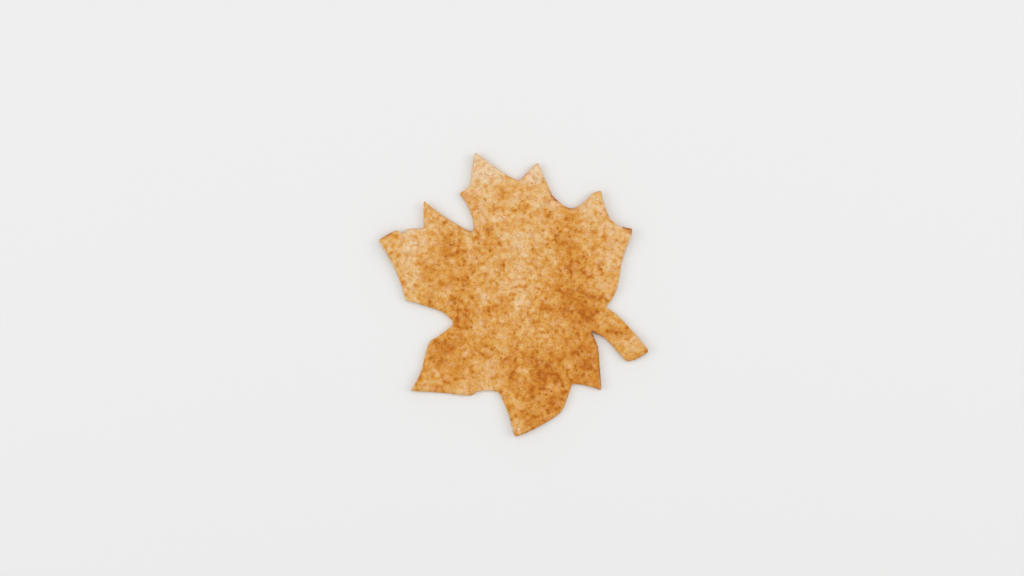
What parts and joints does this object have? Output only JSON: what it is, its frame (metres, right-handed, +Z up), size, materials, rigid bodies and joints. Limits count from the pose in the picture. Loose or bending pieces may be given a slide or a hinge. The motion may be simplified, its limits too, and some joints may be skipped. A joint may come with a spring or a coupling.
{
  "type": "cinnamon sugar cookie",
  "caption": "Thin crisp cookie hand-cut in the shape of a lobed leaf with a short stalk, its top dusted with cinnamon sugar; lies flat as a loose piece of baked food.",
  "frame": {"origin": "under the middle of the cookie's box, on the surface that it lies on", "axes": "+Z up out of the sugared top, +Y along the longest side towards the long top tip, +X towards the side of the stalk"},
  "size_m": [0.0994, 0.1048, 0.0045],
  "materials": {
    "cinnamon_crust": "baked golden dough under a rough matt coat of cinnamon sugar, with darker cinnamon patches, paler blisters and toasted edges"
  },
  "bodies": {
    "root": {"cookie": "cinnamon_crust"}
  },
  "joints": []
}
